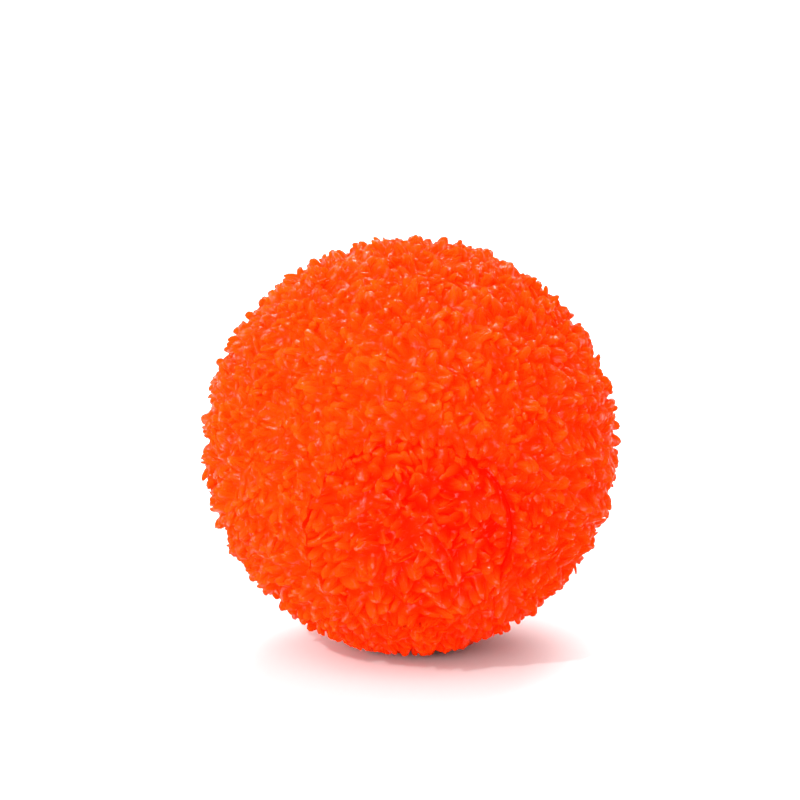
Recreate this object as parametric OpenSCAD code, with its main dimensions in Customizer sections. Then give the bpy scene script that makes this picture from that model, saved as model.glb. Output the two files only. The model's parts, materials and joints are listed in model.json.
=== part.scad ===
// Light-up bouncy ball: a soft nubbed skin with a plugged sleeve that holds a shake-triggered light unit.
// Lengths are in millimetres. +Z is up, and the origin is the middle of the flat that the ball rests on.

/* [Ball] */
// Diameter of the ball over the tips of its nubs
ball_d = 65; // [60:1:90]
// Height of a nub above the skin
nub_h = 2; // [1.2:0.1:2.6]
// Nubs along each edge of the twenty triangles that the pattern is laid out on
nub_rows = 5; // [4:1:6]
// Width of a nub's root as a share of the patch of skin that it stands on
nub_root = 0.8; // [0.5:0.02:0.86]
// Width of a nub's blunt tip as a share of that patch
nub_tip = 0.34; // [0.2:0.02:0.44]
// How far a nub leans away from upright, as a share of its height
nub_lean = 0.35; // [0:0.05:0.5]
// Thickness of the slice of skin that the nubs stand on
nub_backing = 0.8; // [0.6:0.1:1.2]
// Thickness of the skin between the nubs, that slice included
skin_wall = 3.4; // [2.4:0.1:4.5]
// Width of the flat that the soft ball settles on
foot_d = 16; // [10:1:20]

/* [Pocket] */
// Angle of the pocket's axis below the horizontal
pocket_tilt = 16; // [5:1:25]
// Thickness of the sleeve's tube and floor
pocket_wall = 2.2; // [1.5:0.1:3]
// Radial clearance between the light unit and the sleeve
pocket_gap = 0.2; // [0.1:0.05:0.4]
// Thickness of the sleeve's flange, which the plug's cap rests on
flange_t = 1.2; // [0.8:0.1:1.8]
// Radial clearance of the sleeve and its flange in the ball's mouth
sleeve_gap = 0.1; // [0.05:0.05:0.2]
// Thickness of the lip in the ball's mouth that carries the flange
lip_t = 1.6; // [1:0.1:2.4]
// Thickness of the collar round the ball's mouth
collar_wall = 1.8; // [1.2:0.1:2.5]

/* [Plug] */
// Diameter of the plug's cap
plug_d = 30; // [27:0.5:33]
// Radial gap round the plug's cap
plug_gap = 0.3; // [0.2:0.05:0.6]
// Depth of the plug's rim below the skin round it
plug_sink = 0.6; // [0:0.1:1.2]
// Thickness of the plug's cap at its rim
plug_rim = 2; // [1.5:0.1:3]
// Rise of the plug's cap from its rim to its middle
plug_crown = 2.2; // [1:0.1:3]
// Number of nubs on the plug
plug_nubs = 40; // [24:1:60]
// Length of the plug's spigot inside the pocket
spigot_l = 4; // [3:0.25:6]
// Radial clearance of the spigot's sealing rings in the pocket
spigot_gap = 0.06; // [0.02:0.01:0.1]
// Number of sealing rings on the spigot
seal_rings = 3; // [2:1:3]
// Height of a sealing ring above the spigot
seal_h = 0.5; // [0.3:0.1:0.8]
// Width of a sealing ring
seal_w = 0.6; // [0.4:0.1:0.7]

/* [Light unit] */
// Outside diameter of the light unit
unit_d = 22; // [21.5:0.25:24]
// Clearance between stacked pieces that are loose
loose_gap = 0.2; // [0.1:0.05:0.3]
// Wall of the light unit's case
case_wall = 1.2; // [1:0.1:1.5]
// Floor between the cells and the circuit board
case_floor = 1.2; // [0.8:0.1:2]
// Room under the circuit board for solder joints
solder_room = 0.8; // [0.5:0.1:1.2]
// Thickness of the battery cover
cover_t = 1.4; // [1.2:0.1:2]
// Height of the clear dome
dome_h = 9.2; // [8.8:0.1:11]
// Radius of the dome's outer curve
dome_r = 13; // [12.5:0.25:16]
// Wall of the clear dome
dome_wall = 1.4; // [1:0.1:1.6]

/* [Cells and contacts] */
// Diameter of a button cell
cell_d = 11.6; // [11:0.1:11.8]
// Height of a button cell
cell_h = 3.05; // [2.5:0.05:3.6]
// Diameter of a button cell's smaller pole
cell_cap_d = 9.6; // [8.5:0.1:10.2]
// Height of a button cell's smaller pole
cell_cap_h = 0.3; // [0.2:0.05:0.5]
// Radial clearance round the cells
cell_gap = 0.2; // [0.1:0.05:0.3]
// Thickness of the contact sheet metal
sheet_t = 0.3; // [0.2:0.05:0.4]
// Diameter of the contacts' round plates
plate_d = 8; // [6.5:0.5:9]
// Diameter of the inner contact's raised tongue
tongue_d = 4; // [3:0.25:5]
// Rise of the inner contact's tongue
tongue_rise = 0.5; // [0.3:0.1:0.8]
// Diameter of the inner contact's post
post_d = 1.2; // [0.8:0.1:1.6]
// Width of the outer contact's strip
strip_w = 2.4; // [1.8:0.1:3]

/* [Cover screws] */
// Number of cover screws
screw_count = 3; // [2:1:3]
// Diameter of a screw's shank
screw_d = 1.4; // [1.2:0.1:1.6]
// Diameter of a screw's head
screw_head_d = 2.8; // [2.4:0.1:3]
// Height of a screw's head
screw_head_h = 0.7; // [0.5:0.05:0.8]
// Length of the cross slots in a screw's head
drive_l = 2; // [1.6:0.1:2.2]
// Width of the cross slots in a screw's head
drive_w = 0.45; // [0.3:0.05:0.5]
// Length of a screw's shank below its head
screw_l = 6; // [4:0.5:8]
// Radial clearance round a screw's shank and head
screw_gap = 0.1; // [0.05:0.05:0.15]

/* [Circuit board] */
// Thickness of the circuit board
board_t = 1; // [0.8:0.1:1.2]
// Radial clearance round the circuit board
board_gap = 0.2; // [0.1:0.05:0.3]
// Width of the ledge in the dome that holds the board down
board_ledge = 0.6; // [0.4:0.1:0.8]
// Diameter of an LED
led_d = 3; // [2.5:0.1:3.2]
// Height of an LED above the board
led_h = 4.5; // [4:0.1:4.8]
// Diameter of an LED's flange
led_flange_d = 3.8; // [3.4:0.1:4]
// Height of an LED's flange
led_flange_h = 0.8; // [0.5:0.1:1]
// Distance of the LEDs' middles from the edge of the board
led_inset = 4; // [3.8:0.1:4.4]
// Diameter of an LED's leg
leg_d = 0.5; // [0.4:0.05:0.6]
// Distance between an LED's two legs
leg_pitch = 1.6; // [1.4:0.1:2.54]
// Diameter of the epoxy blob over the controller
blob_d = 3.4; // [2.6:0.1:3.6]
// Height of the epoxy blob
blob_h = 0.9; // [0.6:0.1:1.2]
// Length of a chip resistor
resistor_l = 2; // [1.6:0.1:2.2]
// Width of a chip resistor
resistor_w = 1.25; // [0.8:0.05:1.4]
// Height of a chip resistor
resistor_h = 0.5; // [0.3:0.05:0.7]

/* [Shake switch] */
// Diameter of the switch's insulating base
switch_base_d = 4; // [3.6:0.1:4.4]
// Thickness of the switch's insulating base
switch_base_h = 0.6; // [0.4:0.1:0.8]
// Diameter of the pin in the middle of the spring
pin_d = 0.6; // [0.5:0.05:0.7]
// Height of the pin above the base
pin_h = 4; // [3:0.1:4.4]
// Mean diameter of the spring
spring_d = 2.6; // [2.4:0.1:3]
// Diameter of the spring's wire
wire_d = 0.3; // [0.25:0.05:0.35]
// Number of turns in the spring
spring_turns = 5; // [4:1:6]
// Distance from one turn of the spring to the next
spring_pitch = 0.8; // [0.78:0.02:0.85]
// Gap between the spring's foot and its base, which leaves room to sway
sway_gap = 0.3; // [0.28:0.02:0.4]

/* [Hidden] */
$fn = 96;

// Cuts run this far past the faces that they open
past = 1;

// The nub layer is thin, so the sphere inside it needs more facets than the rest
backing_facets = 300;

// Radii of the ball's layers, and the height of its middle above the flat
tip_r = ball_d / 2;
skin_r = tip_r - nub_h;
backing_r = skin_r - nub_backing;
chamber_r = skin_r - skin_wall;
foot_r = foot_d / 2;
middle_z = sqrt(tip_r * tip_r - foot_r * foot_r);

// Levels along the pocket's axis, measured outwards from the middle of the ball
plug_r = plug_d / 2;
seat_r = plug_r + plug_gap;
seat_edge = sqrt(skin_r * skin_r - seat_r * seat_r);
rim_top = seat_edge - plug_sink;
ledge = rim_top - plug_rim;
spigot_end = ledge - spigot_l;
unit_top = spigot_end - loose_gap;

// Levels inside the light unit, measured from its outer end and falling towards the dome
unit_r = unit_d / 2;
pocket_r = unit_r + pocket_gap;
cover_under = -cover_t;
stack_top = cover_under - sheet_t;
stack_end = stack_top - 3 * cell_h;
well_floor = stack_end - tongue_rise - sheet_t;
case_end = well_floor - case_floor - solder_room;
board_face = case_end - board_t;
dome_top = case_end - dome_h;
pocket_floor = unit_top + dome_top - loose_gap;
sleeve_r = pocket_r + pocket_wall;
lip_top = ledge - flange_t;

// Radii inside the light unit
cell_r = cell_d / 2;
well_r = cell_r + cell_gap;
well_wall_r = well_r + case_wall;
case_bore_r = unit_r - case_wall;
boss_ring_r = (well_wall_r + case_bore_r) / 2;
boss_r = (case_bore_r - well_wall_r) / 2 + case_wall / 4;
board_r = case_bore_r - board_gap;
led_ring_r = board_r - led_inset;
dome_bore_r = case_bore_r - board_ledge;
strip_r = well_wall_r + loose_gap + sheet_t / 2;
plate_r = plate_d / 2;
post_r = post_d / 2;

// The spring starts this far above the board and stands round the pin
spring_foot = switch_base_h + sway_gap + wire_d / 2;
spring_r = spring_d / 2;

// Places round the board, as angles: the LEDs, and the parts between them
led_angles = [90, 210, 330];
blob_angle = 30;
resistor_angles = [150, 270];
screw_angle = 60;

// Moves a piece from the pocket's own axis, which is +Z there, to its place in the ball
module on_pocket_axis() {
    translate([0, 0, middle_z]) rotate([90 + pocket_tilt, 0, 0]) children();
}

// Moves a piece from the light unit's own frame to its place in the ball
module in_unit() {
    on_pocket_axis() translate([0, 0, unit_top]) children();
}

// Moves a piece to the face of the board that carries the LEDs, where +Z is away from the board
module on_board() {
    in_unit() translate([0, 0, board_face]) mirror([0, 0, 1]) children();
}

module ring(outer, inner, low, high) {
    difference() {
        translate([0, 0, low]) cylinder(r = outer, h = high - low);
        translate([0, 0, low - past]) cylinder(r = inner, h = high - low + 2 * past);
    }
}

// The nub pattern: an icosahedron with a corner on the pocket's axis, each side split into small patches
function unit(v) = v / norm(v);
function around(angle, height) = [
    sqrt(1 - height * height) * cos(angle), sqrt(1 - height * height) * sin(angle), height
];
function snap(v) = [for (c = v) round(c * 1e5) / 1e5];

belt = 1 / sqrt(5);
upper = [for (k = [0 : 4]) around(90 + 72 * k, belt)];
lower = [for (k = [0 : 4]) around(126 + 72 * k, -belt)];
sides = [
    for (k = [0 : 4])
        let (next = (k + 1) % 5)
        each [
            [[0, 0, 1], upper[k], upper[next]],
            [upper[k], lower[k], upper[next]],
            [lower[k], lower[next], upper[next]],
            [[0, 0, -1], lower[next], lower[k]]
        ]
];
function grid_point(side, i, j) =
    unit(side[0] * (nub_rows - i - j) + side[1] * i + side[2] * j);
patches = [
    for (side = sides, i = [0 : nub_rows - 1], j = [0 : nub_rows - 1 - i]) each [
        [for (p = [[i, j], [i + 1, j], [i, j + 1]]) grid_point(side, p[0], p[1])],
        if (i + j < nub_rows - 1)
            [for (p = [[i + 1, j], [i + 1, j + 1], [i, j + 1]]) grid_point(side, p[0], p[1])]
    ]
];

// A triangle of the given share round the middle of a patch, on the sphere of radius r
function middle_of(patch) = unit(patch[0] + patch[1] + patch[2]);
function inset(patch, share, r, lean) =
    let (middle = middle_of(patch))
    [for (corner = patch) r * unit(middle + (corner - middle) * share + lean)];

// A nub is as wide as fits clear of the plug's seat, and the foot takes the place of those that it covers
nub_widths = [1, 0.8, 0.6, 0.4];
foot_way = [0, -cos(pocket_tilt), sin(pocket_tilt)];
function seat_clear(p) = p[2] < 0 || norm([p[0], p[1]]) > seat_r + plug_gap;
function foot_clear(p) = p * foot_way < 0 || skin_r * norm(cross(p, foot_way)) > foot_r;
function width_fits(patch, width) =
    min([for (p = inset(patch, width * nub_root, skin_r, [0, 0, 0])) seat_clear(p) ? 1 : 0]) == 1;
function widths_of(patch) = [
    for (width = nub_widths)
        if (foot_clear(middle_of(patch)) && width_fits(patch, width)) width
];

// Each nub leans a little, its own way
lean_seed = 7;
leans = rands(-nub_lean, nub_lean, 3 * len(patches), lean_seed);
function lean_of(n) = [leans[3 * n], leans[3 * n + 1], leans[3 * n + 2]] * nub_h / tip_r;

// Each patch is nine points: its corners, its nub's root and its nub's tip
patch_widths = [for (patch = patches) widths_of(patch)];
patch_points = [
    for (n = [0 : len(patches) - 1])
        let (patch = patches[n], width = len(patch_widths[n]) > 0 ? patch_widths[n][0] : 1)
        each [
            for (p = patch) snap(skin_r * p),
            for (p = inset(patch, width * nub_root, skin_r, [0, 0, 0])) snap(p),
            for (p = inset(patch, width * nub_tip, tip_r, width * lean_of(n))) snap(p)
        ]
];
patch_faces = [
    for (n = [0 : len(patches) - 1])
        let (at = 9 * n)
        each len(patch_widths[n]) > 0
            ? [
                for (k = [0 : 2], low = [0, 3])
                    let (a = at + low + k, b = at + low + (k + 1) % 3)
                    each [[a, a + 3, b], [b, a + 3, b + 3]],
                [at + 6, at + 8, at + 7]
            ]
            : [[at, at + 2, at + 1]]
];
module nubbed_ball() {
    polyhedron(points = patch_points, faces = patch_faces, convexity = 6);
}

// The air in the ball, less the collar and lip round its mouth
module air_chamber() {
    difference() {
        sphere(r = chamber_r);
        translate([0, 0, lip_top - lip_t]) cylinder(r = seat_r + collar_wall, h = ball_d);
    }
}

module plug_seat() {
    translate([0, 0, ledge]) cylinder(r = seat_r, h = ball_d);
}

module foot() {
    cylinder(r = foot_r, h = middle_z - chamber_r);
}

module ball_skin() {
    color("orangered")
    difference() {
        union() {
            on_pocket_axis() sphere(r = backing_r);
            foot();
        }
        on_pocket_axis() {
            air_chamber();
            cylinder(r = sleeve_r + sleeve_gap, h = ball_d);
            translate([0, 0, lip_top]) cylinder(r = seat_r, h = ball_d);
        }
    }
}

// The nubs and the slice of skin under them, moulded in one with the rest of the skin
module nub_layer() {
    color("orangered")
    difference() {
        on_pocket_axis() nubbed_ball();
        on_pocket_axis() sphere(r = backing_r, $fn = backing_facets);
        on_pocket_axis() plug_seat();
        foot();
        translate([-ball_d, -ball_d, -ball_d]) cube([2 * ball_d, 2 * ball_d, ball_d]);
    }
}

// The cup that holds the light unit and seals the air in the ball, bonded to the lip in its mouth
module pocket_sleeve() {
    color("orangered")
    on_pocket_axis()
    difference() {
        union() {
            translate([0, 0, pocket_floor - pocket_wall])
                cylinder(r = sleeve_r, h = ledge - pocket_floor + pocket_wall);
            translate([0, 0, lip_top]) cylinder(r = seat_r - sleeve_gap, h = flange_t);
        }
        translate([0, 0, pocket_floor]) cylinder(r = pocket_r, h = ball_d);
    }
}

// The plug's cap is domed, less than the ball is, so that its middle lies below the nubs round it
crown_r = (plug_r * plug_r + plug_crown * plug_crown) / (2 * plug_crown);
crown_middle = rim_top + plug_crown - crown_r;
golden_angle = 180 * (3 - sqrt(5));
plug_nub_r = plug_r / sqrt(plug_nubs);
plug_nub_reach = plug_r - plug_nub_r;
plug_nub_root = plug_rim / 2;

module plug_nub(n) {
    away = plug_nub_reach * sqrt((n + 0.5) / plug_nubs);
    base = crown_middle + sqrt(crown_r * crown_r - away * away) - plug_nub_root;
    rotate([0, 0, n * golden_angle])
        translate([away, 0, base])
            cylinder(r1 = plug_nub_r, r2 = plug_nub_r * nub_tip, h = plug_nub_root + nub_h, $fn = 4);
}

module plug() {
    ring_r = pocket_r - spigot_gap;
    color("orangered")
    on_pocket_axis() {
        intersection() {
            translate([0, 0, ledge]) cylinder(r = plug_r, h = ball_d);
            translate([0, 0, crown_middle]) sphere(r = crown_r);
        }
        for (n = [0 : plug_nubs - 1]) plug_nub(n);
        translate([0, 0, spigot_end]) cylinder(r = ring_r - seal_h, h = spigot_l + plug_rim / 2);
        for (k = [0 : seal_rings - 1])
            translate([0, 0, spigot_end + (k + 0.5) * spigot_l / seal_rings - seal_w / 2])
                cylinder(r = ring_r, h = seal_w);
    }
}

module light_dome() {
    curve_middle = dome_top + dome_r;
    color("azure")
    in_unit()
    difference() {
        intersection() {
            translate([0, 0, dome_top]) cylinder(r = unit_r, h = dome_h);
            translate([0, 0, curve_middle]) sphere(r = dome_r);
        }
        intersection() {
            translate([0, 0, dome_top]) cylinder(r = dome_bore_r, h = dome_h + past);
            translate([0, 0, curve_middle]) sphere(r = dome_r - dome_wall);
        }
        translate([0, 0, board_face]) cylinder(r = case_bore_r, h = board_t + past);
    }
}

// A copy of the children at each cover screw, with +Z out of the unit
module at_screws() {
    for (k = [0 : screw_count - 1])
        rotate([0, 0, screw_angle + 360 * k / screw_count]) translate([boss_ring_r, 0, 0]) children();
}

screw_seat = -screw_head_h - screw_gap;
screw_hole_r = screw_d / 2 + screw_gap;

module light_case() {
    color("whitesmoke")
    in_unit()
    difference() {
        translate([0, 0, case_end]) cylinder(r = unit_r, h = cover_under - case_end);
        // The space between the wall and the cells' well, less the screw bosses
        difference() {
            ring(case_bore_r, well_wall_r, well_floor, cover_under + past);
            at_screws()
                translate([0, 0, case_end]) cylinder(r = boss_r, h = cover_under - case_end + 2 * past);
        }
        translate([0, 0, well_floor]) cylinder(r = well_r, h = cover_under - well_floor + past);
        translate([0, 0, case_end - past]) cylinder(r = dome_bore_r, h = solder_room + past);
        // Bores for the screws and the inner contact's post
        at_screws()
            translate([0, 0, screw_seat - screw_l - loose_gap])
                cylinder(r = screw_hole_r, h = screw_l + past);
        translate([0, 0, case_end]) cylinder(r = post_r + loose_gap, h = well_floor - case_end + past);
        // A slot and a notch for the outer contact's strip
        translate([strip_r - sheet_t / 2 - loose_gap / 2, -strip_w / 2 - loose_gap, case_end])
            cube([sheet_t + loose_gap, strip_w + 2 * loose_gap, well_floor - case_end + past]);
        translate([0, -strip_w / 2 - loose_gap, stack_top])
            cube([boss_ring_r, strip_w + 2 * loose_gap, sheet_t + past]);
    }
}

module battery_cover() {
    color("whitesmoke")
    in_unit()
    difference() {
        translate([0, 0, cover_under]) cylinder(r = unit_r, h = cover_t);
        at_screws() {
            translate([0, 0, cover_under - past]) cylinder(r = screw_hole_r, h = cover_t + 2 * past);
            translate([0, 0, screw_seat]) cylinder(r = screw_head_d / 2 + screw_gap, h = screw_head_h + past);
        }
    }
}

module cover_screws() {
    color("silver")
    in_unit()
    at_screws()
    difference() {
        union() {
            translate([0, 0, screw_seat]) cylinder(d = screw_head_d, h = screw_head_h);
            translate([0, 0, screw_seat - screw_l]) cylinder(d = screw_d, h = screw_l + screw_head_h / 2);
        }
        for (turn = [0, 90])
            rotate([0, 0, turn])
                translate([-drive_l / 2, -drive_w / 2, screw_seat + screw_head_h / 2])
                    cube([drive_l, drive_w, screw_head_h]);
    }
}

// Button cell n of the stack, counted from the dome, with its smaller pole towards the dome
module cell(n) {
    color("lightgray")
    in_unit()
    translate([0, 0, stack_end + n * cell_h]) {
        cylinder(d = cell_cap_d, h = cell_h / 2);
        translate([0, 0, cell_cap_h]) cylinder(r = cell_r, h = cell_h - cell_cap_h);
    }
}

module inner_contact() {
    tongue_r = tongue_d / 2;
    color("gold")
    in_unit() {
        translate([0, 0, well_floor]) cylinder(r = plate_r, h = sheet_t);
        translate([0, 0, well_floor])
            cylinder(r1 = tongue_r + tongue_rise, r2 = tongue_r, h = sheet_t + tongue_rise);
        translate([0, 0, case_end]) cylinder(r = post_r, h = well_floor - case_end + sheet_t / 2);
    }
}

module outer_contact() {
    color("gold")
    in_unit() {
        translate([0, 0, stack_top]) cylinder(r = plate_r, h = sheet_t);
        translate([0, -strip_w / 2, stack_top]) cube([strip_r + sheet_t / 2, strip_w, sheet_t]);
        translate([strip_r - sheet_t / 2, -strip_w / 2, case_end])
            cube([sheet_t, strip_w, cover_under - case_end]);
    }
}

// The two legs of an LED, through the board
module led_legs(r, h) {
    for (side = [-1, 1])
        translate([0, side * leg_pitch / 2, -board_t]) cylinder(r = r, h = h);
}

module at_angle(angle, away) {
    rotate([0, 0, angle]) translate([away, 0, 0]) children();
}

module circuit_board() {
    color("darkgreen")
    on_board()
    difference() {
        translate([0, 0, -board_t]) cylinder(r = board_r, h = board_t);
        for (angle = led_angles)
            at_angle(angle, led_ring_r)
                translate([0, 0, -past]) led_legs(leg_d / 2 + screw_gap / 2, board_t + 2 * past);
    }
}

module led(angle, tint) {
    body_h = led_h - led_d / 2;
    color(tint)
    on_board()
    at_angle(angle, led_ring_r) {
        cylinder(d = led_flange_d, h = led_flange_h);
        cylinder(d = led_d, h = body_h);
        translate([0, 0, body_h]) sphere(d = led_d);
        led_legs(leg_d / 2, board_t + led_flange_h / 2);
    }
}

module controller_blob() {
    cap_r = (blob_d * blob_d / 4 + blob_h * blob_h) / (2 * blob_h);
    color("black")
    on_board()
    at_angle(blob_angle, led_ring_r)
    intersection() {
        translate([0, 0, blob_h - cap_r]) sphere(r = cap_r);
        cylinder(d = blob_d, h = blob_h);
    }
}

module resistor(angle) {
    color("dimgray")
    on_board()
    at_angle(angle, led_ring_r)
        translate([-resistor_w / 2, -resistor_l / 2, 0]) cube([resistor_w, resistor_l, resistor_h]);
}

module switch_base() {
    color("black")
    on_board()
    ring(switch_base_d / 2, pin_d / 2, 0, switch_base_h);
}

module switch_pin() {
    color("gold")
    on_board()
    cylinder(d = pin_d, h = switch_base_h + pin_h);
}

// The spring's path: a short straight foot, then the turns
turn_steps = 8;
wire_sides = 6;
function spring_point(n) =
    let (angle = 360 * n / turn_steps)
    [
        spring_r * cos(angle), spring_r * sin(angle),
        spring_foot + wire_d + spring_pitch * n / turn_steps
    ];
spring_path = concat(
    [[spring_r, 0, spring_foot]],
    [for (n = [0 : turn_steps * spring_turns]) spring_point(n)]
);

// The least gap between one turn and the next, measured on the path's own points
turn_gaps = [
    for (a = [0 : len(spring_path) - 1], b = [a + turn_steps / 2 : 1 : len(spring_path) - 1])
        norm(spring_path[b] - spring_path[a]) - wire_d
];
echo(least_gap_in_spring = min(turn_gaps));

// One ring of the wire's section, square to the path at point n
function spring_ring(n) =
    let (
        last = len(spring_path) - 1,
        along = unit(spring_path[min(n + 1, last)] - spring_path[max(n - 1, 0)]),
        out = unit(cross(along, cross([spring_path[n][0], spring_path[n][1], 0], along))),
        up = cross(along, out)
    )
    [
        for (k = [0 : wire_sides - 1])
            let (angle = 360 * k / wire_sides)
            spring_path[n] + wire_d / 2 * (out * cos(angle) + up * sin(angle))
    ];
module switch_spring() {
    rings = len(spring_path);
    color("silver")
    on_board()
    polyhedron(
        points = [for (n = [0 : rings - 1]) each spring_ring(n)],
        faces = [
            for (n = [0 : rings - 2], k = [0 : wire_sides - 1])
                let (a = n * wire_sides + k, b = n * wire_sides + (k + 1) % wire_sides)
                each [[a, a + wire_sides, b], [b, a + wire_sides, b + wire_sides]],
            for (k = [1 : wire_sides - 2]) [0, k, k + 1],
            for (k = [1 : wire_sides - 2])
                let (end = (rings - 1) * wire_sides)
                [end, end + k + 1, end + k]
        ],
        convexity = 8
    );
}

ball_skin();
nub_layer();
pocket_sleeve();
plug();
light_dome();
light_case();
battery_cover();
cover_screws();
cell(0);  // cell_inner
cell(1);  // cell_middle
cell(2);  // cell_outer
inner_contact();
outer_contact();
circuit_board();
led(led_angles[0], "red");  // led_red
led(led_angles[1], "lime");  // led_green
led(led_angles[2], "blue");  // led_blue
controller_blob();
resistor(resistor_angles[0]);  // resistor_left
resistor(resistor_angles[1]);  // resistor_right
switch_base();
switch_pin();
switch_spring();
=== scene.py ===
"""Looks of the light-up bouncy ball: its soft nubbed skin and plug, and the light unit in its sleeve."""
import json
import math

import bpy
import numpy as np
from mathutils import Matrix, Vector
from mathutils.bvhtree import BVHTree
from mathutils.geometry import delaunay_2d_cdt


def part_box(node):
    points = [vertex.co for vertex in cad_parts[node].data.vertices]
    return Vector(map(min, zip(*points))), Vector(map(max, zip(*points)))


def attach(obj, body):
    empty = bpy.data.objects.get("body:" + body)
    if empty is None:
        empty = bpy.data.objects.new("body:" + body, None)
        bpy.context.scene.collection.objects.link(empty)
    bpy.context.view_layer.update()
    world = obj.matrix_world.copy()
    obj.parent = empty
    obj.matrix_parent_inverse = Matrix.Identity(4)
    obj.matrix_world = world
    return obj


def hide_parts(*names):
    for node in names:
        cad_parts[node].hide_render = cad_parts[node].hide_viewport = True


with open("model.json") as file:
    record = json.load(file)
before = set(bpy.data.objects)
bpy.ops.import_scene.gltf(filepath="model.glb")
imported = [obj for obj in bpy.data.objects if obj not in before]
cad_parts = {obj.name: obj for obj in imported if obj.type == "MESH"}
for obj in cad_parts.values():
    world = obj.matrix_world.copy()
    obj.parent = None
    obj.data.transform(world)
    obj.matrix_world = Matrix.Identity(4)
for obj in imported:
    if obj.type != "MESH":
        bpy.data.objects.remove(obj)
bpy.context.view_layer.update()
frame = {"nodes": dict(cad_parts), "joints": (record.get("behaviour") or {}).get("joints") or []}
scene = bpy.context.scene
SEED = 11
rng = np.random.default_rng(SEED)
MM = 0.001
NEAR_ZERO = 1e-9

# The ball's own frame: its middle, and the axis of its pocket, which is +Z there and runs out of the plug
joint_axis = {joint["name"]: Vector(joint["axis"]) for joint in frame["joints"]}
OUT = joint_axis["plug_pull"].normalized()
TILT = math.asin(-OUT.z)
nub_low, nub_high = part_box("nub_layer")
TIP_R = (nub_high.x - nub_low.x) / 2
MIDDLE = Vector((0, 0, nub_high.z - TIP_R))
TO_WORLD = Matrix.Translation(MIDDLE) @ Matrix.Rotation(math.pi / 2 + TILT, 4, "X")
TO_OWN = TO_WORLD.inverted()


def own_points(node):
    """A node's vertices in the ball's own frame."""
    return [TO_OWN @ v.co for v in frame["nodes"][node].data.vertices]


def own_box(node):
    """The lowest and highest corners of a node in the ball's own frame."""
    points = np.array(own_points(node))
    return points.min(0), points.max(0)


def to_world(points):
    """Points of the ball's own frame in the shared one."""
    turn = np.array(TO_WORLD)
    return points @ turn[:3, :3].T + turn[:3, 3]


# Sizes of the soft pieces that the solids' boxes don't give, in metres
NUB_H = 2.3 * MM
SKIN_T = 3.1 * MM
UNIT_GAP = 0.2 * MM
SEAT_GAP = 0.1 * MM
SLEEVE_GAP = 0.1 * MM
SLEEVE_T = 2.2 * MM
SLEEVE_FLOOR = 2.2 * MM
FLANGE_T = 1.2 * MM
LIP_T = 1.6 * MM
COLLAR_T = 1.8 * MM
RIM_H = 2 * MM
CROWN = 2.2 * MM
EDGE_ROUND = 0.25 * MM
TURNED_SIDES = 128

# Sizes read from the solids, and those that follow from them, in metres
plug_low, plug_high = own_box("plug")
sleeve_low, sleeve_high = own_box("pocket_sleeve")
_, case_high = own_box("light_case")
PLUG_R = plug_high[0]
SPIGOT_END = plug_low[2]
LEDGE = sleeve_high[2]
SLEEVE_END = sleeve_low[2]
FLANGE_R = sleeve_high[0]
FLANGE_END = LEDGE - FLANGE_T
POCKET_R = case_high[0] + UNIT_GAP
SKIN_R = TIP_R - NUB_H
CHAMBER_R = SKIN_R - SKIN_T
SEAT_R = FLANGE_R + SEAT_GAP
SLEEVE_R = POCKET_R + SLEEVE_T
COLLAR_R = SEAT_R + COLLAR_T
RIM_TOP = LEDGE + RIM_H


def unit(v):
    """Vectors of length 1 along the given ones."""
    return v / np.linalg.norm(v, axis=-1, keepdims=True)


def turn_about_z(count):
    """Evenly spaced directions round Z."""
    angle = np.arange(count) * 2 * math.pi / count
    return np.column_stack([np.cos(angle), np.sin(angle)])


def circle(ways, angle):
    """Directions round Z, all at one angle off it."""
    return np.column_stack([ways * math.sin(angle), np.full(len(ways), math.cos(angle))])


def golden_spiral(count):
    """Shares of the way along a golden-angle spiral, and the directions there."""
    n = np.arange(count) + 0.5
    angle = n * math.pi * (3 - math.sqrt(5))
    return n / count, np.column_stack([np.cos(angle), np.sin(angle)])


def even_sphere(count):
    """Directions spread evenly over a sphere."""
    share, ways = golden_spiral(count)
    z = 1 - 2 * share
    return np.column_stack([ways * np.sqrt(1 - z * z)[:, None], z])


def even_disc(count):
    """Points spread evenly over a unit disc."""
    share, ways = golden_spiral(count)
    return ways * np.sqrt(share)[:, None]


def arc(middle, radius, start, end, steps):
    """Points of an arc in a turned profile, as (radius, height), between two angles from the radius."""
    angle = np.linspace(start, end, steps + 1)
    return [(middle[0] + radius * math.cos(a), middle[1] + radius * math.sin(a)) for a in angle]


# Fingers: closed round nubs that grow out of a surface, one in each cell between its neighbours
FINGER_HEIGHTS = (0.0, 0.36, 0.74, 0.93)
FINGER_WIDTHS = (0.97, 0.95, 0.86, 0.6)
FLAT_FROM = 0.3
LEAN_CURVE = 1.5
LEAST_AREA = 1e-12


def delaunay(points):
    """Counter-clockwise triangles between planar points."""
    found = delaunay_2d_cdt([Vector(p) for p in points], [], [], 0, NEAR_ZERO)
    given = np.array([group[0] for group in found[3]])
    tri = given[np.array(found[2])]
    a, b, c = (points[tri[:, k]] for k in range(3))
    ab, ac = b - a, c - a
    area = ab[:, 0] * ac[:, 1] - ab[:, 1] * ac[:, 0]
    broad = np.abs(area) > LEAST_AREA
    tri, area = tri[broad], area[broad]
    return np.where((area < 0)[:, None], tri[:, ::-1], tri)


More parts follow.
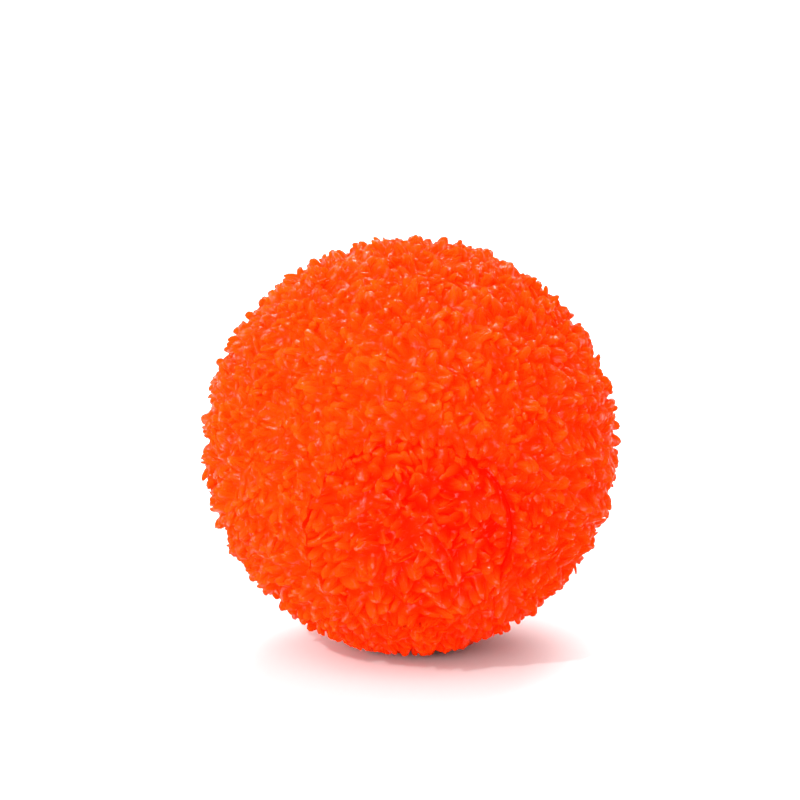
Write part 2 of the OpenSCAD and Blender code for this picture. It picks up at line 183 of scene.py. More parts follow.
def grow_fingers(tri, border, feet, up, rise, lean, flat_way, flatness):
    """Vertices, faces and flat places of a surface of fingers. The first feet, the border, carry none."""
    corner = tri.ravel()
    count = len(corner)
    rings = len(FINGER_HEIGHTS)
    reach = np.repeat(feet[tri].mean(1), 3, axis=0) - feet[corner]
    thin = (1 - flatness[corner]) * np.sum(reach * flat_way[corner], axis=1)
    thinned = reach - thin[:, None] * flat_way[corner]
    verts, places = [feet[:border]], [feet[:border]]
    for height, width in zip(FINGER_HEIGHTS, FINGER_WIDTHS):
        side = (reach if height < FLAT_FROM else thinned) * width
        raised = feet[corner] + up[corner] * (rise[corner] * height)[:, None]
        verts.append(raised + lean[corner] * height**LEAN_CURVE + side)
        places.append(feet[corner] + reach * width)
    verts.append(feet[border:] + up[border:] * rise[border:, None] + lean[border:])
    places.append(feet[border:])

    def at(c, ring):
        return np.where(corner[c] < border, corner[c], border + ring * count + c)

    # Each inner edge lies between two triangles, and runs from start to end in each of them
    start = np.arange(count)
    end = start - start % 3 + (start + 1) % 3
    low = np.minimum(corner[start], corner[end])
    high = np.maximum(corner[start], corner[end])
    key = low * len(feet) + high
    order = np.argsort(key, kind="stable")
    paired = key[order][1:] == key[order][:-1]
    left, right = order[:-1][paired], order[1:][paired]
    rounds = np.concatenate([
        np.column_stack([end[right], left]),
        np.column_stack([end[left], right]),
    ])
    rounds = rounds[corner[rounds[:, 0]] >= border]
    first, second = rounds.T
    faces = []
    for ring in range(rings - 1):
        quads = [at(first, ring), at(second, ring), at(second, ring + 1), at(first, ring + 1)]
        faces += np.column_stack(quads).tolist()
    tips = rings * count + corner[first]
    faces += np.column_stack([at(first, rings - 1), at(second, rings - 1), tips]).tolist()
    valley = np.column_stack([at(end[right], 0), at(right, 0), at(end[left], 0), at(left, 0)])
    faces += at(start, 0).reshape(-1, 3).tolist()
    faces += [f for f in (list(dict.fromkeys(q)) for q in valley.tolist()) if len(f) > 2]
    return np.concatenate(verts), faces, np.concatenate(places)


def turn_on(verts, faces, profile, inward):
    """Carries a surface on from its round border along a turned profile that ends on the axis."""
    ring = np.arange(TURNED_SIDES)
    after = np.roll(ring, -1)
    start = len(verts)
    ways = turn_about_z(TURNED_SIDES)
    added = [np.column_stack([ways * r, np.full(TURNED_SIDES, z)]) for r, z in profile[:-1]]
    added.append(np.array([[0, 0, profile[-1][1]]]))
    rings = [ring] + [start + k * TURNED_SIDES + ring for k in range(len(profile) - 1)]
    pole = start + (len(profile) - 1) * TURNED_SIDES
    for low, high in zip(rings, rings[1:]):
        quads = np.column_stack([low, low[after], high[after], high])
        faces += (quads if inward else quads[:, ::-1]).tolist()
    fan = np.column_stack([rings[-1], rings[-1][after], np.full(TURNED_SIDES, pole)])
    faces += (fan if inward else fan[:, ::-1]).tolist()
    return np.concatenate([verts] + added), faces


def turned_chart(steps, start, end):
    """Places on a unit sphere for the rings that turn_on adds, from one angle off the axis to another."""
    ways = turn_about_z(TURNED_SIDES)
    angles = np.linspace(start, end, steps + 1)[1:]
    rings = [circle(ways, a) for a in angles[:-1]]
    return np.concatenate(rings + [np.array([[0, 0, math.cos(angles[-1])]])])


# The flat map of a mesh is two discs side by side, as shares of its width and height
FRONT_U = 0.25
BACK_U = 0.75
DISC_V = 0.5
DISC_WIDTH = 0.235
DISC_HEIGHT = 0.47
LEAST_DEPTH = -0.5


def lay_out(mesh, chart):
    """Lays a mesh out flat: one disc for each half of the sphere that its chart lies on."""
    loops = np.empty(len(mesh.loops), np.int32)
    mesh.loops.foreach_get("vertex_index", loops)
    starts = np.empty(len(mesh.polygons), np.int32)
    mesh.polygons.foreach_get("loop_start", starts)
    place = unit(chart)[loops]
    totals = np.diff(np.append(starts, len(loops)))
    front = np.repeat(np.add.reduceat(place[:, 2], starts) > 0, totals)
    depth = np.where(front, place[:, 2], -place[:, 2])
    scale = 1 / np.sqrt(1 + np.clip(depth, LEAST_DEPTH, 1))
    u = np.where(front, FRONT_U, BACK_U) + DISC_WIDTH * place[:, 0] * scale
    v = DISC_V + DISC_HEIGHT * place[:, 1] * scale
    layer = mesh.uv_layers.new(name="OFBake")
    layer.data.foreach_set("uv", np.column_stack([u, v]).ravel())


def new_object(name, verts, faces, smooth=True):
    mesh = bpy.data.meshes.new(name)
    mesh.from_pydata(verts.tolist(), [], faces)
    mesh.polygons.foreach_set("use_smooth", np.full(len(mesh.polygons), smooth))
    mesh.update()
    obj = bpy.data.objects.new(name, mesh)
    scene.collection.objects.link(obj)
    return obj


# The plug's fingers meet the skin's on a wavy ring, straight along the axis so that the plug comes out
RING_GAP = 0.05 * MM
MOUTH_R = PLUG_R + RING_GAP
MEET_GAP = 0.2 * MM
BARE_BAND = 0.7 * MM
BARE_MIDDLE = math.radians(12)
BARE_HALF = math.radians(25)
BARE_REACH = 1.7
WAVE_DEPTH = 0.9 * MM
WAVE_SPREAD = 0.3
FEWEST_WAVES = 10
MOST_WAVES = 33
wave_counts = np.arange(FEWEST_WAVES, MOST_WAVES + 1)
wave_starts = rng.uniform(0, 2 * math.pi, len(wave_counts))
wave_heights = rng.normal(0, WAVE_SPREAD, len(wave_counts))


def meeting_radius(points):
    """Radius of the wavy ring in the directions of points round the axis."""
    angle = np.arctan2(points[:, 1], points[:, 0])
    waves = np.sum(wave_heights * np.sin(angle[:, None] * wave_counts + wave_starts), axis=1)
    return MOUTH_R + WAVE_DEPTH * (0.5 + 0.5 * np.tanh(waves))


def bareness(ways):
    """How far the fingers round the ring leave it bare, from 0 to 1: they do on one side."""
    angle = np.arctan2(ways[:, 1], ways[:, 0])
    return np.clip(BARE_REACH - np.abs(angle - BARE_MIDDLE) / BARE_HALF, 0, 1)


# The skin: leaning fingers, drawn together in small tufts and the tufts in clumps, lower round their edges
NUB_COUNT = 7600
NUB_SCATTER = 0.2
NUB_LEAN = 0.14 * MM
NUB_SHORT = 0.06
NUB_FLATNESS = (0.45, 0.95)
TUFT_COUNT = 2500
TUFT_SCATTER = 0.02
TUFT_PULL = 0.78
TUFT_LEAN = 0.4 * MM
TUFT_SHORT = 0.24
TUFT_DROP = 0.34
CLUMP_COUNT = 560
CLUMP_SCATTER = 0.035
CLUMP_PULL = 0.32
CLUMP_DROP = 0.1
# Shares of the solid's relief that the fingers follow, above and below its mean, and their limits
TIP_SHARE = 0.5
HOLLOW_SHARE = 0.6
SETTLE = 0.1 * MM
LEAST_RISE = 0.35
TIP_GAP = 0.05 * MM
# The row of fingers along the ring
EDGE_PITCH = 0.65
EDGE_INSET = 0.35
EDGE_CLEAR = 0.75
EDGE_LEAN = 1.9 * MM
EDGE_BARE = 1.2
EDGE_RISE = 0.8
MOUTH_ANGLE = math.asin((MOUTH_R + EDGE_ROUND) / SKIN_R)
# Heights above the floor where the fingers are pressed, and where they reach down to it
SQUASH_START = 0.9 * MM
FOOT_NEAR = 2.6 * MM
FOOT_FAR = 5 * MM
# Slow waves over the ball that neighbouring fingers lie over with
DRIFT_WAVES = 12
DRIFT_TURNS = 5
DRIFT_SIZE = 0.15 * MM


def press_on_floor(points):
    """Presses what would reach below the floor flat against it."""
    low = np.minimum(points[:, 2], SQUASH_START)
    pressed = SQUASH_START * np.exp((low - SQUASH_START) / SQUASH_START)
    points[:, 2] = np.where(points[:, 2] < SQUASH_START, pressed, points[:, 2])
    return points


def solid_heights(ways):
    """Heights of the nub layer's solid above the skin along directions from the ball's middle."""
    polygons = [p.vertices for p in frame["nodes"]["nub_layer"].data.polygons]
    tree = BVHTree.FromPolygons(own_points("nub_layer"), polygons)
    start = 2 * TIP_R
    hits = [tree.ray_cast(start * Vector(way), -Vector(way), start - CHAMBER_R)[0] for way in ways]
    return np.array([hit.length if hit else SKIN_R for hit in hits]) - SKIN_R


def drift(ways):
    """The way that neighbouring fingers lie over together, in metres, changing slowly over the ball."""
    turns = rng.normal(0, DRIFT_TURNS, (DRIFT_WAVES, 3))
    starts = rng.uniform(0, 2 * math.pi, DRIFT_WAVES)
    sizes = rng.normal(0, DRIFT_SIZE, (DRIFT_WAVES, 3))
    return np.sin(ways @ turns.T + starts) @ sizes


def patch_share(steps, count):
    """Lengths as shares of the radius of one of so many equal patches of the skin, up to 1."""
    patch_r = SKIN_R * math.sqrt(4 / count)
    return np.minimum(1, np.linalg.norm(steps, axis=1) / patch_r)


def mouth_profile():
    """From the mouth's edge in over the seat and lip, then round the air chamber."""
    edge = MOUTH_R + EDGE_ROUND
    edge_top = math.sqrt(SKIN_R**2 - edge**2)
    lip_end = FLANGE_END - LIP_T
    bore = SLEEVE_R + SLEEVE_GAP + EDGE_ROUND
    start = math.atan2(math.sqrt(CHAMBER_R**2 - COLLAR_R**2), COLLAR_R)
    profile = arc((edge, edge_top - EDGE_ROUND), EDGE_ROUND, math.pi / 2, math.pi, steps=4)[1:]
    profile += [(MOUTH_R, LEDGE + EDGE_ROUND), (SEAT_R, LEDGE)]
    profile += [(SEAT_R, FLANGE_END), (SEAT_R - EDGE_ROUND, FLANGE_END)]
    profile += arc((bore, FLANGE_END - EDGE_ROUND), EDGE_ROUND, math.pi / 2, math.pi, steps=3)
    profile += arc((bore, lip_end + EDGE_ROUND), EDGE_ROUND, math.pi, 1.5 * math.pi, steps=3)
    profile += arc((0, 0), CHAMBER_R, start, -math.pi / 2, steps=40)
    return profile[:-1] + [(0, -CHAMBER_R)]


def skin_rise(up, mine, to_tuft, to_clump):
    """Heights of the skin's fingers, which follow the solid's nubs."""
    clump_drop = CLUMP_DROP * patch_share(to_clump, CLUMP_COUNT)**2
    tuft_drop = TUFT_DROP * patch_share(to_tuft, TUFT_COUNT)**2
    tuft_short = rng.uniform(0, TUFT_SHORT, TUFT_COUNT) + clump_drop
    nub_short = np.abs(rng.normal(0, NUB_SHORT, len(up)))
    short = tuft_short[mine] + nub_short + tuft_drop
    solid = solid_heights(up)
    solid -= solid.mean()
    solid *= np.where(solid > 0, TIP_SHARE, HOLLOW_SHARE)
    rise = NUB_H * (1 - short) + solid - SETTLE
    # Fingers that the ball rests on all reach the floor
    rests = np.clip((FOOT_FAR - to_world(up * SKIN_R)[:, 2]) / (FOOT_FAR - FOOT_NEAR), 0, 1)
    return rise + rests * (NUB_H - rise)


def make_skin():
    spacing = math.sqrt(4 * math.pi / NUB_COUNT)
    mouth = circle(turn_about_z(TURNED_SIDES), MOUTH_ANGLE)
    edge_count = round(2 * math.pi * math.sin(MOUTH_ANGLE) / (EDGE_PITCH * spacing))
    edge_ways = turn_about_z(edge_count)
    edge_angle = MOUTH_ANGLE + EDGE_INSET * spacing
    spots = unit(even_sphere(NUB_COUNT) + rng.normal(0, NUB_SCATTER * spacing, (NUB_COUNT, 3)))
    spots = spots[spots[:, 2] < math.cos(edge_angle + EDGE_CLEAR * spacing)]
    up = np.concatenate([mouth, circle(edge_ways, edge_angle), spots])
    count = len(up)
    on_edge = slice(TURNED_SIDES, TURNED_SIDES + edge_count)
    feet = up * SKIN_R
    tufts = unit(even_sphere(TUFT_COUNT) + rng.normal(0, TUFT_SCATTER, (TUFT_COUNT, 3)))
    clumps = unit(even_sphere(CLUMP_COUNT) + rng.normal(0, CLUMP_SCATTER, (CLUMP_COUNT, 3)))
    mine = np.argmax(up @ tufts.T, axis=1)
    to_tuft = tufts[mine] * SKIN_R - feet
    to_clump = SKIN_R * (clumps[np.argmax(tufts @ clumps.T, axis=1)] - tufts)
    tuft_lean = CLUMP_PULL * to_clump + rng.normal(0, TUFT_LEAN, (TUFT_COUNT, 3)) + drift(tufts)
    lean = TUFT_PULL * to_tuft + tuft_lean[mine] + rng.normal(0, NUB_LEAN, (count, 3))
    edge_lean = EDGE_LEAN * (1 - EDGE_BARE * bareness(edge_ways))
    lean[on_edge, :2] -= edge_ways * edge_lean[:, None]
    lean -= np.sum(lean * up, axis=1, keepdims=True) * up
    rise = skin_rise(up, mine, to_tuft, to_clump)
    rise[on_edge] = EDGE_RISE * NUB_H
    rise = np.clip(rise, LEAST_RISE * NUB_H, NUB_H - TIP_GAP)
    flat_way = unit(np.cross(up, rng.normal(0, 1, (count, 3))))
    flatness = rng.uniform(*NUB_FLATNESS, count)
    flatness[on_edge] = 1
    flat_places = up[:, :2] / (1 - up[:, 2:])
    tri = delaunay(flat_places)[:, ::-1]
    verts, faces, places = grow_fingers(tri, TURNED_SIDES, feet, up, rise, lean, flat_way, flatness)
    # Fingers round the plug stand clear of the way that it is pulled out
    off_axis = np.linalg.norm(verts[:, :2], axis=1)
    nearest_r = meeting_radius(verts) + MEET_GAP / 2
    clear = np.where(verts[:, 2] > 0, np.maximum(1, nearest_r / off_axis), 1)
    verts[TURNED_SIDES:, :2] *= clear[TURNED_SIDES:, None]
    profile = mouth_profile()
    chart = np.concatenate([places, turned_chart(len(profile), MOUTH_ANGLE, 0)])
    verts, faces = turn_on(verts, faces, profile, True)
    skin = new_object("soft_skin", press_on_floor(to_world(verts)), faces)
    lay_out(skin.data, chart)
    return skin


# The plug: a domed cap with fewer, fleshier fingers, on a spigot with sealing rings
LOBE_COUNT = 240
LOBE_H = 2.6 * MM
LOBE_SCATTER = 0.2
LOBE_LEAN = 0.4 * MM
LOBE_SHORT = 0.2
LOBE_FLATNESS = (0.25, 0.7)
LOBE_TUFTS = 95
LOBE_TUFT_PULL = 0.5
LOBE_TUFT_LEAN = 1.0 * MM
LOBE_TUFT_SHORT = 0.32
LOBE_EDGE_INSET = 0.3
LOBE_EDGE_CLEAR = 0.8
LOBE_EDGE_LEAN = 1.4 * MM
LOBE_EDGE_BARE = 1.3
LOBE_EDGE_RISE = 0.85
CHART_EDGE = math.radians(60)
CROWN_R = (PLUG_R**2 + CROWN**2) / (2 * CROWN)
CROWN_MIDDLE = RIM_TOP + CROWN - CROWN_R
SPIGOT_GAP = 0.06 * MM
SPIGOT_STEP = 0.1 * MM
SEAL_COUNT = 3
SEAL_H = 0.5 * MM
SEAL_R = 0.25 * MM
SEAL_HALF = 0.4 * MM


def crown_height(off_axis):
    """Height of the cap's dome in the ball's own frame."""
    return CROWN_MIDDLE + np.sqrt(CROWN_R**2 - off_axis**2)


def plug_profile():
    """From the cap's edge down its rim, in under the cap and down the ringed spigot."""
    seal = POCKET_R - SPIGOT_GAP
    neck = seal - SEAL_H
    edge = PLUG_R - EDGE_ROUND
    profile = arc((edge, RIM_TOP - EDGE_ROUND), EDGE_ROUND, math.pi / 2, 0, steps=4)[1:]
    profile += arc((edge, LEDGE + EDGE_ROUND), EDGE_ROUND, 0, -math.pi / 2, steps=4)
    profile += [(neck + EDGE_ROUND, LEDGE), (neck, LEDGE - SPIGOT_STEP)]
    pitch = (LEDGE - SPIGOT_END) / SEAL_COUNT
    for k in range(SEAL_COUNT):
        height = LEDGE - (k + 0.5) * pitch
        profile += [(neck, height + SEAL_HALF)]
        profile += arc((seal - SEAL_R, height), SEAL_R, math.pi / 2, -math.pi / 2, steps=6)
        profile += [(neck, height - SEAL_HALF)]
    profile += arc((neck - EDGE_ROUND, SPIGOT_END + EDGE_ROUND), EDGE_ROUND, 0, -math.pi / 2, steps=3)
    return profile + [(neck / 2, SPIGOT_END), (0, SPIGOT_END)]


def plug_chart(places, edge):
    """Places of the cap's surface on a unit sphere, with its edge at CHART_EDGE off the axis."""
    off_axis = np.linalg.norm(places[:, :2], axis=1)
    angle = CHART_EDGE * off_axis / edge
    ways = places[:, :2] / np.maximum(off_axis, NEAR_ZERO)[:, None]
    return np.column_stack([ways * np.sin(angle)[:, None], np.cos(angle)])


def make_plug():
    edge = PLUG_R - EDGE_ROUND
    rim = turn_about_z(TURNED_SIDES) * edge
    spacing = math.sqrt(math.pi / LOBE_COUNT) * edge
    edge_count = round(2 * math.pi * edge / (EDGE_PITCH * spacing))
    edge_ways = turn_about_z(edge_count)
    edge_row = edge_ways * (edge - LOBE_EDGE_INSET * spacing)
    scatter = rng.normal(0, LOBE_SCATTER * spacing, (LOBE_COUNT, 2))
    spots = even_disc(LOBE_COUNT) * (edge - spacing) + scatter
    spots = spots[np.linalg.norm(spots, axis=1) < edge - LOBE_EDGE_CLEAR * spacing]
    plan = np.concatenate([rim, edge_row, spots])
    count = len(plan)
    on_rim = slice(0, TURNED_SIDES)
    on_edge = slice(TURNED_SIDES, TURNED_SIDES + edge_count)
    feet = np.column_stack([plan, crown_height(np.linalg.norm(plan, axis=1))])
    feet[on_rim, 2] = RIM_TOP
    up = unit(feet + np.array([0, 0, RIM_TOP]))
    tufts = even_disc(LOBE_TUFTS) * edge
    mine = np.argmin(np.linalg.norm(plan[:, None] - tufts[None], axis=-1), axis=1)
    tuft_lean = rng.normal(0, LOBE_TUFT_LEAN, (LOBE_TUFTS, 2))
    to_tuft = tufts[mine] - plan
    drawn = LOBE_TUFT_PULL * to_tuft + tuft_lean[mine] + rng.normal(0, LOBE_LEAN, (count, 2))
    edge_lean = LOBE_EDGE_LEAN * (1 - LOBE_EDGE_BARE * bareness(edge_ways))
    drawn[on_edge] += edge_ways * edge_lean[:, None]
    lean = np.column_stack([drawn, np.zeros(count)])
    tuft_short = np.abs(rng.normal(0, LOBE_TUFT_SHORT, LOBE_TUFTS))
    lobe_short = np.abs(rng.normal(0, LOBE_SHORT, count))
    rise = LOBE_H * np.maximum(LEAST_RISE, 1 - tuft_short[mine] - lobe_short)
    rise[on_edge] = np.maximum(rise[on_edge], LOBE_EDGE_RISE * LOBE_H)
    flat_way = unit(np.cross(up, rng.normal(0, 1, (count, 3))))
    flatness = rng.uniform(*LOBE_FLATNESS, count)
    flatness[on_edge] = 1
    tri = delaunay(plan)
    verts, faces, places = grow_fingers(tri, TURNED_SIDES, feet, up, rise, lean, flat_way, flatness)
    # Fingers along the ring stop short of the skin's
    off_axis = np.linalg.norm(verts[:, :2], axis=1)
    band = BARE_BAND * bareness(verts)
    band[on_rim] = 0
    farthest_r = meeting_radius(verts) - MEET_GAP / 2 - band
    verts[:, :2] *= np.minimum(1, farthest_r / np.maximum(off_axis, NEAR_ZERO))[:, None]
    profile = plug_profile()
    chart = np.concatenate([plug_chart(places, edge), turned_chart(len(profile), CHART_EDGE, math.pi)])
    verts, faces = turn_on(verts, faces, profile, False)
    plug = new_object("soft_plug", to_world(verts), faces)
    lay_out(plug.data, chart)
    return plug


def make_sleeve():
    """The cup that holds the light unit, with rounded edges on its flange, bore and floor."""
    r = EDGE_ROUND
    floor_top = SLEEVE_END + SLEEVE_FLOOR
    bore = [(POCKET_R, floor_top + r)]
    bore += arc((POCKET_R - r, floor_top + r), r, 0, -math.pi / 2, steps=3)[1:]
    bore += [(POCKET_R / 2, floor_top), (0, floor_top)]
    outside = arc((POCKET_R + r, LEDGE - r), r, math.pi, math.pi / 2, steps=4)
    outside += arc((FLANGE_R - r, LEDGE - r), r, math.pi / 2, 0, steps=4)
    outside += [(FLANGE_R, FLANGE_END), (SLEEVE_R + r, FLANGE_END), (SLEEVE_R, FLANGE_END - r)]
    outside += arc((SLEEVE_R - r, SLEEVE_END + r), r, 0, -math.pi / 2, steps=4)
    outside += [(SLEEVE_R / 2, SLEEVE_END), (0, SLEEVE_END)]
    mouth_r, mouth_z = outside[0]
    mouth = np.column_stack([turn_about_z(TURNED_SIDES) * mouth_r, np.full(TURNED_SIDES, mouth_z)])
    verts, faces = turn_on(mouth, [], bore, True)
    verts, faces = turn_on(verts, faces, outside[1:], False)
    return new_object("soft_sleeve", to_world(verts), faces)


# Soft rubber: painted shade, from deep red in the hollows between nubs to lighter orange at their tips,
# over most of the ball, and a deeper red painted shade round the plug
RUBBER_COLOR = (0.97, 0.033, 0.0012)
RUBBER_ROUGHNESS = 0.14
# Painted shade and light: deep red in the hollows between nubs, lighter orange at the nubs' tips
BALL_SHADE_COLORS = ((0.95, 0.0208, 0.0004), (0.97, 0.0458, 0.0015))
# Painted shade: a deeper red round the recessed, downward-facing plug, its middle moved right and up from
# the plug's
PLUG_SHADE_COLORS = ((0.91, 0.0058, 0.0003), (0.95, 0.031, 0.0013))
PLUG_SHADE_NEAR = 6 * MM
PLUG_SHADE_FAR = 21 * MM
PLUG_SHADE_SHIFT = Vector((5, 0, 2)) * MM
PATCH_SCALE = 190
PATCH_SHARE = 1.2
SHADE_RANGE = (0.55, 1.55)
SCATTER_SHARE = 0.9
SCATTER_COLORS = (1.0, 0.5, 0.3)
SCATTER_DEPTH = 4.5 * MM
GLINT_SCALE = 1000
GLINT_RANGE = (0.56, 0.66)
GLINT_LEVELS = (0.01, 0.62)
GRAIN_SCALE = 1000
GRAIN_STRENGTH = 0.8
GRAIN_DEPTH = 0.4 * MM

# Hard finishes: fine grain, and mottling that is coarser and a little darker
MOTTLE_COARSER = 12
MOTTLE_DARKER = 0.88
FINE_DEPTH = 0.03 * MM
FLOW_DEPTH = 0.1 * MM
CLOUD_DARKER = 0.75


def material(name, color, roughness):
    mat = bpy.data.materials.new(name)
    mat.use_nodes = True
    shader = mat.node_tree.nodes["Principled BSDF"]
    shader.inputs["Base Color"].default_value = (*color, 1)
    shader.inputs["Roughness"].default_value = roughness
    return mat, mat.node_tree, shader


def add(tree, kind, **values):
    node = tree.nodes.new(kind)
    for key, value in values.items():
        setattr(node, key, value)
    return node


def ramp(tree, value, stops):
    """Colours between stops, picked by a value from 0 to 1."""
    node = add(tree, "ShaderNodeValToRGB")
    for element, (place, color) in zip(node.color_ramp.elements, stops):
        element.position = place
        element.color = (*color, 1)
    tree.links.new(value, node.inputs["Fac"])
    return node.outputs["Color"]


def noise(tree, scale, detail, rough=0.5):
    """Noise in object space, with its scale in features a metre."""
    coords = add(tree, "ShaderNodeTexCoord")
    node = add(tree, "ShaderNodeTexNoise")
    node.inputs["Scale"].default_value = scale
    node.inputs["Detail"].default_value = detail
    node.inputs["Roughness"].default_value = rough
    tree.links.new(coords.outputs["Object"], node.inputs["Vector"])
    return node.outputs["Fac"]


def distance_from(tree, place):
    """Distance in metres from a place in object space."""
    coords = add(tree, "ShaderNodeTexCoord")
    node = add(tree, "ShaderNodeVectorMath", operation="DISTANCE")
    node.inputs[1].default_value = place
    tree.links.new(coords.outputs["Object"], node.inputs[0])
    return node.outputs["Value"]


def map_range(tree, value, source, target=(0, 1), curve="LINEAR"):
    """A value carried over from one range to another and kept inside it."""
    node = add(tree, "ShaderNodeMapRange", interpolation_type=curve)
    for socket, limit in zip(("From Min", "From Max", "To Min", "To Max"), (*source, *target)):
        node.inputs[socket].default_value = limit
    tree.links.new(value, node.inputs["Value"])
    return node.outputs["Result"]


def bump(tree, shader, height, strength, distance):
    node = add(tree, "ShaderNodeBump")
    node.inputs["Strength"].default_value = strength
    node.inputs["Distance"].default_value = distance
    tree.links.new(height, node.inputs["Height"])
    tree.links.new(node.outputs["Normal"], shader.inputs["Normal"])


def soft_rubber(name, middle, ground_r, nub_h):
    """Translucent rubber with painted shade: redder between the nubs and towards the plug, painted lighter
    at the tips; wet glints on some tips.
    """
    mat, tree, shader = material(name, RUBBER_COLOR, RUBBER_ROUGHNESS)
    # Painted shade: the colour darkens from the nubs' tips down into the hollows between them
    height = map_range(tree, distance_from(tree, middle), (ground_r, ground_r + nub_h))
    mixed = add(tree, "ShaderNodeMath", operation="MULTIPLY_ADD")
    mixed.inputs[1].default_value = PATCH_SHARE
    tree.links.new(noise(tree, PATCH_SCALE, detail=1), mixed.inputs[0])
    tree.links.new(height, mixed.inputs[2])
    shade = map_range(tree, mixed.outputs["Value"], SHADE_RANGE)
    # Painted shade: the rubber turns deeper red near the plug, fading out between the near and far
    # distances
    plug_shade_distance = distance_from(tree, MIDDLE + OUT * RIM_TOP + PLUG_SHADE_SHIFT)
    out_of_plug_shade = map_range(tree, plug_shade_distance, (PLUG_SHADE_NEAR, PLUG_SHADE_FAR), curve="SMOOTHSTEP")
    mix = add(tree, "ShaderNodeMix", data_type="RGBA")
    tree.links.new(out_of_plug_shade, mix.inputs["Factor"])
    tree.links.new(ramp(tree, shade, enumerate(PLUG_SHADE_COLORS)), mix.inputs["A"])
    tree.links.new(ramp(tree, shade, enumerate(BALL_SHADE_COLORS)), mix.inputs["B"])
    tree.links.new(mix.outputs["Result"], shader.inputs["Base Color"])
    shader.subsurface_method = "BURLEY"
    shader.inputs["Subsurface Weight"].default_value = SCATTER_SHARE
    shader.inputs["Subsurface Radius"].default_value = SCATTER_COLORS
    shader.inputs["Subsurface Scale"].default_value = SCATTER_DEPTH
    glints = map_range(tree, noise(tree, GLINT_SCALE, detail=2), GLINT_RANGE, GLINT_LEVELS)
    tree.links.new(glints, shader.inputs["Specular IOR Level"])
    grain = noise(tree, GRAIN_SCALE, detail=4, rough=0.6)
    bump(tree, shader, grain, GRAIN_STRENGTH, GRAIN_DEPTH)
    return mat


def plain(name, color, roughness, grain, strength, metallic=0.0):
    """A finish with slight mottling and a fine grain, of so many grains a metre."""
    mat, tree, shader = material(name, color, roughness)
    shader.inputs["Metallic"].default_value = metallic
    mottle = noise(tree, grain / MOTTLE_COARSER, detail=3)
    darker = tuple(MOTTLE_DARKER * c for c in color)
    mottled = ramp(tree, mottle, [(0.3, darker), (0.7, color)])
    tree.links.new(mottled, shader.inputs["Base Color"])
    bump(tree, shader, noise(tree, grain, detail=3), strength, FINE_DEPTH)
    return mat


def metal(name, color, roughness, grain, strength):
    return plain(name, color, roughness, grain, strength, metallic=1.0)


def clear_plastic():
    mat, tree, shader = material("clear_plastic", (0.95, 0.98, 1.0), roughness=0.06)
    shader.inputs["Transmission Weight"].default_value = 0.95
    shader.inputs["IOR"].default_value = 1.45
    flow = noise(tree, 220, detail=2)
    bump(tree, shader, flow, 0.08, FLOW_DEPTH)
    return mat


def led_epoxy(name, color):
    mat, tree, shader = material(name, color, roughness=0.08)
    shader.inputs["Transmission Weight"].default_value = 0.5
    shader.inputs["IOR"].default_value = 1.5
    cloud = noise(tree, 900, detail=2)
    darker = tuple(CLOUD_DARKER * c for c in color)
    clouded = ramp(tree, cloud, [(0.35, darker), (0.65, color)])
    tree.links.new(clouded, shader.inputs["Base Color"])
    return mat


def dress(node, mat):
    data = frame["nodes"][node].data
    data.materials.clear()
    data.materials.append(mat)


# Build the soft pieces
ball_rubber = soft_rubber("ball_rubber", MIDDLE, SKIN_R, NUB_H)
plug_rubber = soft_rubber("plug_rubber", MIDDLE + OUT * CROWN_MIDDLE, CROWN_R, LOBE_H)
skin = make_skin()
sleeve = make_sleeve()
plug = make_plug()
for piece, rubber in ((skin, ball_rubber), (sleeve, ball_rubber), (plug, plug_rubber)):
    piece.data.materials.append(rubber)
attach(skin, "ball")
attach(sleeve, "ball")
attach(plug, "plug")
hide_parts("ball_skin", "nub_layer")
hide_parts("pocket_sleeve")
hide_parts("plug")

# Finish the solids of the light unit
white = plain("white_plastic", (0.5, 0.5, 0.49), roughness=0.42, grain=3000, strength=0.15)
steel = metal("cell_steel", (0.72, 0.72, 0.73), roughness=0.28, grain=2400, strength=0.1)
brass = metal("contact_metal", (0.78, 0.6, 0.3), roughness=0.3, grain=2400, strength=0.12)
zinc = metal("screw_steel", (0.6, 0.6, 0.62), roughness=0.35, grain=2600, strength=0.15)
board = plain("board", (0.03, 0.2, 0.08), roughness=0.35, grain=1800, strength=0.2)
epoxy = plain("black_epoxy", (0.02, 0.02, 0.022), roughness=0.2, grain=1500, strength=0.15)
chip = plain("chip_ceramic", (0.07, 0.07, 0.08), roughness=0.5, grain=3000, strength=0.2)
black = plain("black_plastic", (0.03, 0.03, 0.032), roughness=0.5, grain=3000, strength=0.2)
wire = metal("spring_steel", (0.68, 0.68, 0.7), roughness=0.25, grain=2600, strength=0.1)
finishes = {
    "light_dome": clear_plastic(),
    "light_case": white,
    "battery_cover": white,
    "cover_screws": zinc,
    "cell_inner": steel,
    "cell_middle": steel,
    "cell_outer": steel,
    "inner_contact": brass,
    "outer_contact": brass,
    "circuit_board": board,
    "led_red": led_epoxy("led_red", (0.8, 0.05, 0.04)),
    "led_green": led_epoxy("led_green", (0.08, 0.65, 0.12)),
    "led_blue": led_epoxy("led_blue", (0.06, 0.16, 0.85)),
    "controller_blob": epoxy,
    "resistor_left": chip,
    "resistor_right": chip,
    "switch_base": black,
    "switch_pin": brass,
    "switch_spring": wire,
}
for node, mat in finishes.items():
    dress(node, mat)

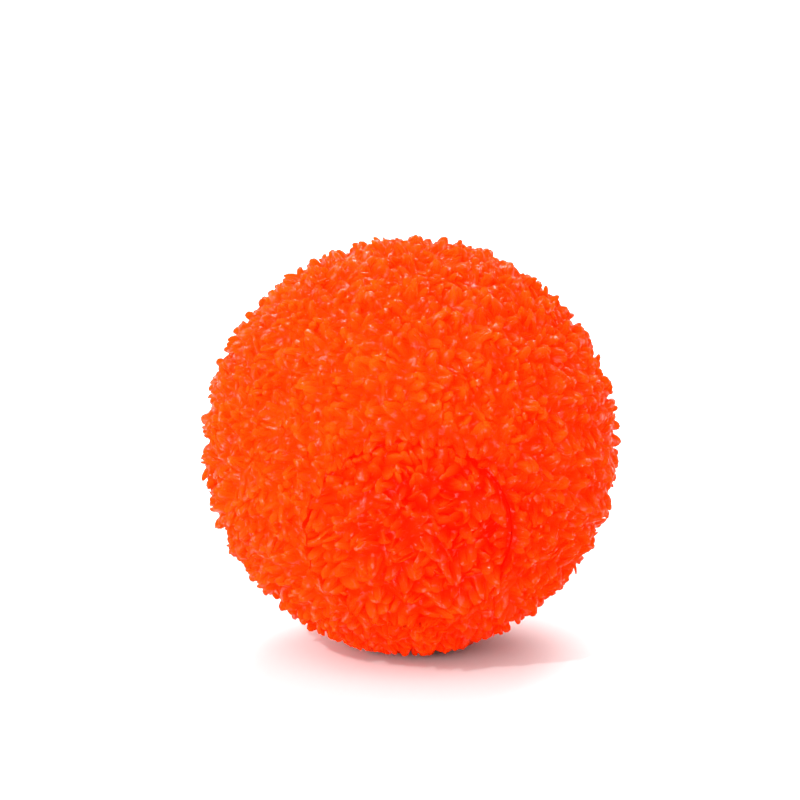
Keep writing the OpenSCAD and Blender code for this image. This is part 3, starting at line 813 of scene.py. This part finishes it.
# A pale floor
FLOOR_R = 4.0
FLOOR_SIDES = 96
FLOOR_COLOR = (0.76, 0.76, 0.76)
floor_edge = np.column_stack([turn_about_z(FLOOR_SIDES) * FLOOR_R, np.zeros(FLOOR_SIDES)])
floor = new_object("floor", floor_edge, [list(range(FLOOR_SIDES))], smooth=False)
floor_mat, _, floor_shader = material("pale_floor", FLOOR_COLOR, roughness=0.7)
floor_shader.inputs["Specular IOR Level"].default_value = 0.1
floor.data.materials.append(floor_mat)

# The camera puts the ball's middle and half-width at these pixels of a square picture
FRAME_PX = 800
BALL_PX = (410, 445)
BALL_HALF_PX = 208
OUTLINE_INSET = 0.6 * MM
OUTLINE_R = TIP_R - OUTLINE_INSET
SENSOR = 36.0
CAMERA_DISTANCE = 0.6
CAMERA_UP = math.radians(13)


def facing(place, target):
    """The rotation that points a camera or light at a target."""
    return (target - place).to_track_quat("-Z", "Y").to_euler()


def add_camera():
    focal_px = BALL_HALF_PX * math.sqrt(CAMERA_DISTANCE**2 - OUTLINE_R**2) / OUTLINE_R
    camera = bpy.data.objects.new("camera", bpy.data.cameras.new("camera"))
    scene.collection.objects.link(camera)
    camera.data.sensor_width = SENSOR
    camera.data.lens = focal_px * SENSOR / FRAME_PX
    back = Vector((0, -math.cos(CAMERA_UP), math.sin(CAMERA_UP)))
    camera.location = MIDDLE + CAMERA_DISTANCE * back
    pixel = CAMERA_DISTANCE / focal_px
    right = Vector((1, 0, 0))
    up = Vector((0, math.sin(CAMERA_UP), math.cos(CAMERA_UP)))
    aside = right * (FRAME_PX / 2 - BALL_PX[0]) * pixel
    above = up * (BALL_PX[1] - FRAME_PX / 2) * pixel
    camera.rotation_euler = facing(camera.location, MIDDLE + aside + above)
    scene.camera = camera


def add_lamp(data, place):
    """Stands a light at a place, facing the ball's middle."""
    lamp = bpy.data.objects.new(data.name, data)
    lamp.location = place
    lamp.rotation_euler = facing(Vector(place), MIDDLE)
    scene.collection.objects.link(lamp)
    return lamp


def area_light(name, place, power, size, glints=True):
    data = bpy.data.lights.new(name, "AREA")
    data.energy = power
    data.size = size
    lamp = add_lamp(data, place)
    lamp.visible_glossy = glints


def sun_light(name, place, strength, spread):
    data = bpy.data.lights.new(name, "SUN")
    data.energy = strength
    data.angle = spread
    add_lamp(data, place)


def white_world():
    world = bpy.data.worlds.new("studio")
    world.use_nodes = True
    background = world.node_tree.nodes["Background"]
    background.inputs["Color"].default_value = (1, 1, 1, 1)
    background.inputs["Strength"].default_value = 1.0
    scene.world = world


add_camera()
area_light("key", (-0.38, -0.5, 0.5), power=2.7, size=0.02)
area_light("fill", (-0.52, -0.42, 0.06), power=3.2, size=0.3, glints=False)
area_light("top", (0.08, 0.45, 0.7), power=10, size=0.7)
sun_light("soft", (-0.6, -0.5, 0.5), strength=2.1, spread=math.radians(95))
white_world()
scene.view_settings.view_transform = "Standard"
